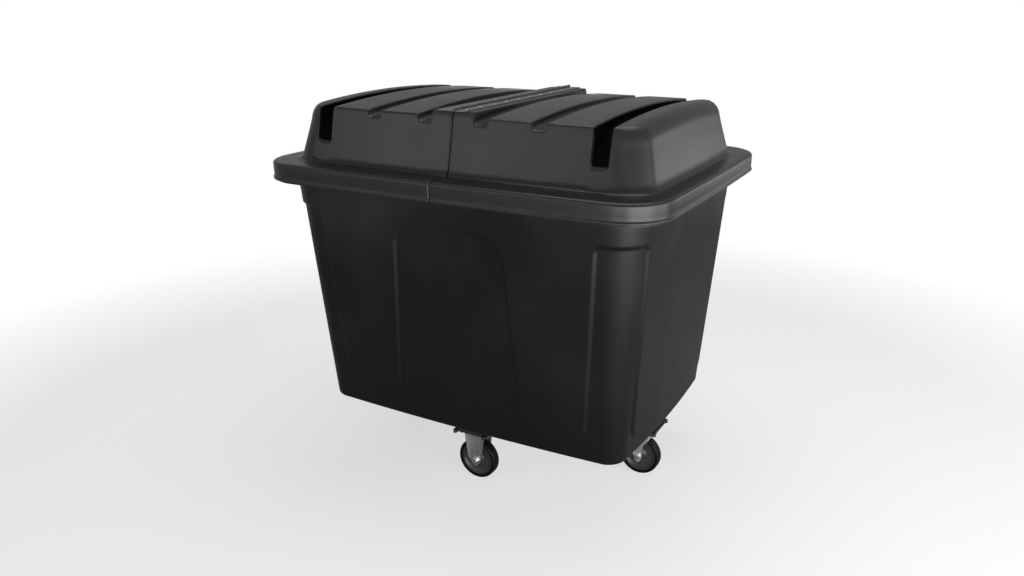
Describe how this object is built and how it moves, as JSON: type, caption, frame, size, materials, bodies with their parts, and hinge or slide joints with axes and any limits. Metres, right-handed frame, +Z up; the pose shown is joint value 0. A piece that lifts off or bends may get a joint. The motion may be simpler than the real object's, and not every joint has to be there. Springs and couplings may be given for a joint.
{
  "type": "wheeled waste truck",
  "caption": "Tapered moulded tub for bulk waste on rigid and swivel casters, under a ribbed dome lid whose halves lift about a hinge across its middle.",
  "frame": {"origin": "on the floor under the middle of the tub", "axes": "+X along the length towards the right swivel caster, +Y across it towards the back, +Z up"},
  "size_m": [1.155, 0.855, 1.052],
  "materials": {
    "black_polyethylene": "satin, moulded",
    "pad_plastic": "satin",
    "wheel_plastic": "satin",
    "tyre_rubber": "matte",
    "bush_brass": "bright",
    "hinge_steel": "dull, stippled",
    "hardened_steel": "ground",
    "zinc_plated_steel": "bright zinc plate"
  },
  "bodies": {
    "tub_body": {"tub": "black_polyethylene", "caster_pad_front": "pad_plastic", "caster_pad_back": "pad_plastic", "caster_pad_left": "pad_plastic", "caster_pad_right": "pad_plastic", "caster_bolts_front": "zinc_plated_steel", "caster_bolts_back": "zinc_plated_steel", "caster_bolts_left": "zinc_plated_steel", "caster_bolts_right": "zinc_plated_steel", "caster_nuts_front": "zinc_plated_steel", "caster_nuts_back": "zinc_plated_steel", "caster_nuts_left": "zinc_plated_steel", "caster_nuts_right": "zinc_plated_steel", "rigid_fork_front": "zinc_plated_steel", "rigid_fork_back": "zinc_plated_steel", "axle_bolt_front": "zinc_plated_steel", "axle_bolt_back": "zinc_plated_steel", "axle_nut_front": "zinc_plated_steel", "axle_nut_back": "zinc_plated_steel", "swivel_plate_left": "zinc_plated_steel", "swivel_plate_right": "zinc_plated_steel", "king_pin_left": "hardened_steel", "king_pin_right": "hardened_steel"},
    "lid_left_body": {"lid_left": "black_polyethylene", "hinge_leaf_left": "hinge_steel", "hinge_rivets_left": "hinge_steel", "hinge_pin": "hinge_steel"},
    "lid_right_body": {"lid_right": "black_polyethylene", "hinge_leaf_right": "hinge_steel", "hinge_rivets_right": "hinge_steel"},
    "swivel_left_body": {"swivel_fork_left": "zinc_plated_steel", "swivel_balls_left": "hardened_steel", "axle_bolt_left": "zinc_plated_steel", "axle_nut_left": "zinc_plated_steel"},
    "swivel_right_body": {"swivel_fork_right": "zinc_plated_steel", "swivel_balls_right": "hardened_steel", "axle_bolt_right": "zinc_plated_steel", "axle_nut_right": "zinc_plated_steel"},
    "wheel_front_body": {"wheel_front": "wheel_plastic", "tyre_front": "tyre_rubber", "bush_front": "bush_brass"},
    "wheel_back_body": {"wheel_back": "wheel_plastic", "tyre_back": "tyre_rubber", "bush_back": "bush_brass"},
    "wheel_left_body": {"wheel_left": "wheel_plastic", "tyre_left": "tyre_rubber", "bush_left": "bush_brass"},
    "wheel_right_body": {"wheel_right": "wheel_plastic", "tyre_right": "tyre_rubber", "bush_right": "bush_brass"}
  },
  "joints": [
    {"name": "lid_left_hinge", "type": "hinge", "parent": "tub_body", "child": "lid_left_body", "pos_m": [0, 0, 1.048], "axis": [0, 1, 0], "range_deg": [0, 88]},
    {"name": "lid_right_hinge", "type": "hinge", "parent": "tub_body", "child": "lid_right_body", "pos_m": [0, 0, 1.048], "axis": [0, -1, 0], "range_deg": [0, 88]},
    {"name": "swivel_left_turn", "type": "hinge", "parent": "tub_body", "child": "swivel_left_body", "pos_m": [-0.414, 0, 0.13], "axis": [0, 0, 1], "continuous": true},
    {"name": "swivel_right_turn", "type": "hinge", "parent": "tub_body", "child": "swivel_right_body", "pos_m": [0.414, 0, 0.13], "axis": [0, 0, 1], "continuous": true},
    {"name": "wheel_front_spin", "type": "hinge", "parent": "tub_body", "child": "wheel_front_body", "pos_m": [0, -0.238, 0.059], "axis": [0, 1, 0], "continuous": true},
    {"name": "wheel_back_spin", "type": "hinge", "parent": "tub_body", "child": "wheel_back_body", "pos_m": [0, 0.238, 0.059], "axis": [0, 1, 0], "continuous": true},
    {"name": "wheel_left_spin", "type": "hinge", "parent": "swivel_left_body", "child": "wheel_left_body", "pos_m": [-0.398, 0, 0.059], "axis": [0, 1, 0], "continuous": true},
    {"name": "wheel_right_spin", "type": "hinge", "parent": "swivel_right_body", "child": "wheel_right_body", "pos_m": [0.398, 0, 0.059], "axis": [0, 1, 0], "continuous": true}
  ]
}
